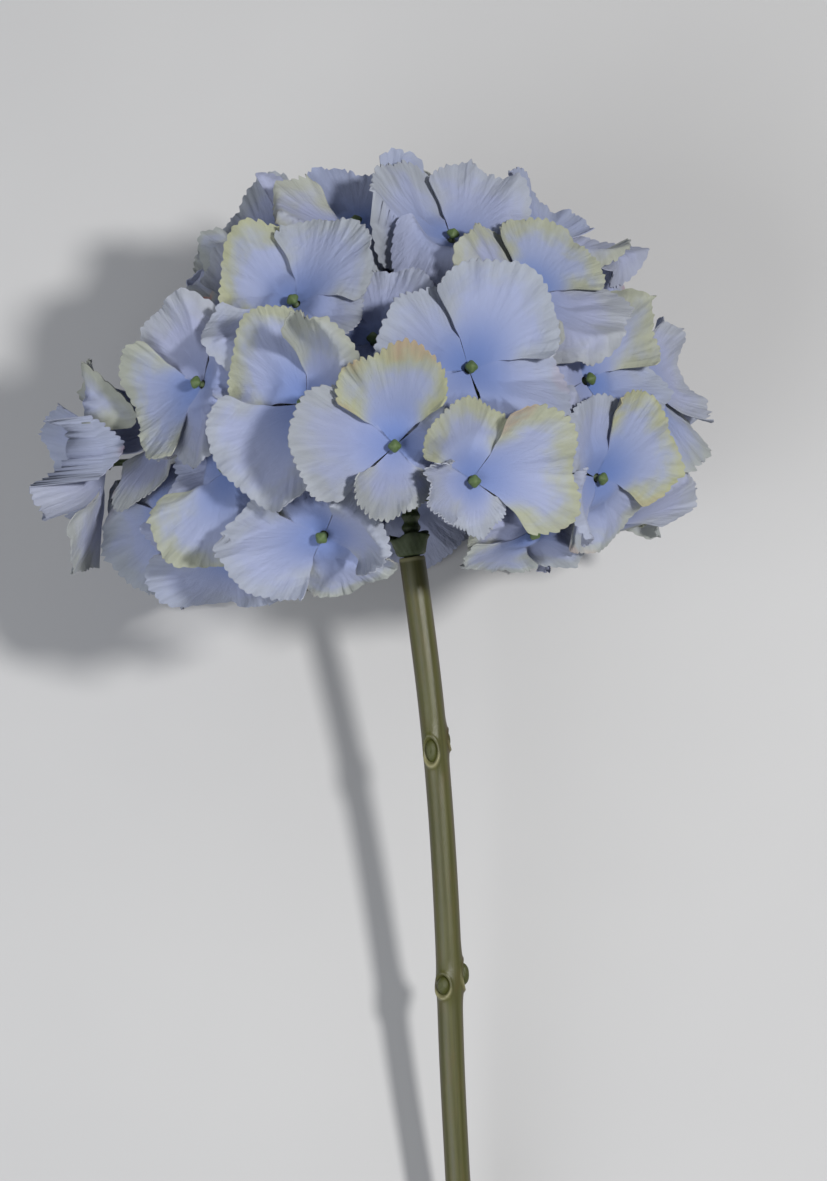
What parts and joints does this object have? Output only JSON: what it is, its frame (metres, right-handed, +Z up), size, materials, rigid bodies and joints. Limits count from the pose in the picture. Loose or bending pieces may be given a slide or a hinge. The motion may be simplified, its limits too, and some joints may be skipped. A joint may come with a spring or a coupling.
{
  "type": "artificial hydrangea flower",
  "caption": "Artificial hydrangea: a round head of lavender-blue fabric florets with yellow-green edges, lying on pressed petals and its moulded green stem.",
  "frame": {"origin": "on the surface that the flower lies on, under the middle of its bounding box", "axes": "+Z up from that surface, +Y along the flower from the cut end to the head, +X to the right of it as seen from the front of the flower"},
  "size_m": [0.2116, 0.4162, 0.1896],
  "materials": {
    "petal_cloth": "stiffened pleated cloth, periwinkle to lavender with yellow-green and coral edges",
    "stem_plastic": "satin olive green moulding",
    "bud_plastic": "satin dark green moulding",
    "spray_plastic": "satin dark green moulding",
    "steel_wire": "drawn wire, cut end"
  },
  "bodies": {
    "root": {"stem": "stem_plastic", "stem_wire": "steel_wire", "collar": "spray_plastic", "spray": "spray_plastic", "bud_upper_front": "bud_plastic", "bud_upper_side": "bud_plastic", "bud_middle_front": "bud_plastic", "bud_middle_side": "bud_plastic", "bud_lower_front": "bud_plastic", "bud_lower_side": "bud_plastic", "floret_01": "petal_cloth", "floret_02": "petal_cloth", "floret_03": "petal_cloth", "floret_04": "petal_cloth", "floret_05": "petal_cloth", "floret_06": "petal_cloth", "floret_07": "petal_cloth", "floret_08": "petal_cloth", "floret_09": "petal_cloth", "floret_10": "petal_cloth", "floret_11": "petal_cloth", "floret_12": "petal_cloth", "floret_13": "petal_cloth", "floret_14": "petal_cloth", "floret_15": "petal_cloth", "floret_16": "petal_cloth", "floret_17": "petal_cloth", "floret_18": "petal_cloth", "floret_19": "petal_cloth", "floret_20": "petal_cloth", "floret_21": "petal_cloth", "floret_22": "petal_cloth", "floret_23": "petal_cloth", "floret_24": "petal_cloth", "floret_25": "petal_cloth", "floret_26": "petal_cloth", "floret_27": "petal_cloth", "floret_28": "petal_cloth", "floret_29": "petal_cloth", "floret_30": "petal_cloth", "floret_31": "petal_cloth", "floret_32": "petal_cloth", "floret_33": "petal_cloth", "floret_34": "petal_cloth", "floret_35": "petal_cloth", "floret_36": "petal_cloth", "floret_37": "petal_cloth", "floret_38": "petal_cloth", "floret_39": "petal_cloth", "floret_40": "petal_cloth", "floret_41": "petal_cloth", "floret_42": "petal_cloth", "floret_43": "petal_cloth", "floret_44": "petal_cloth", "floret_45": "petal_cloth", "floret_46": "petal_cloth", "floret_47": "petal_cloth"}
  },
  "joints": []
}
